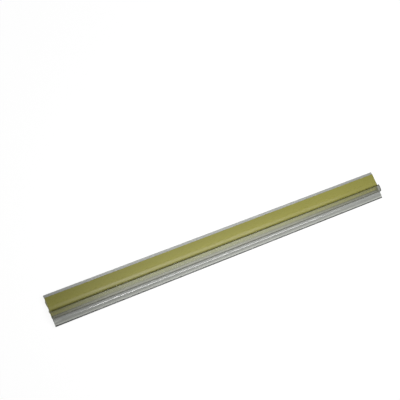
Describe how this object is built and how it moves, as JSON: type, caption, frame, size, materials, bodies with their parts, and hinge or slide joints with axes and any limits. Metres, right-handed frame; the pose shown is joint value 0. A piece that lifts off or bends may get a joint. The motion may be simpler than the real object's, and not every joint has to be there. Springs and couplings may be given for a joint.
{
  "type": "draught excluder strip",
  "caption": "Clear plastic door-bottom sealing strip with a moulded front, a taped flange under a release liner, a soft flap over the tape and a floor lip.",
  "frame": {"origin": "middle of the strip's length and width, on the plane that the moulded front's crest and nose lie on", "axes": "+X along the strip, +Y across it from the lip's tip towards the flange's free edge, +Z from the moulded front to the taped back, so the liner faces up"},
  "size_m": [0.5, 0.0382, 0.0087],
  "materials": {
    "clear_pvc": "satin",
    "white_foam": "matte",
    "olive_liner": "satin"
  },
  "bodies": {
    "root": {"sealing_profile": "clear_pvc", "foam_tape": "white_foam", "release_liner": "olive_liner"}
  },
  "joints": []
}
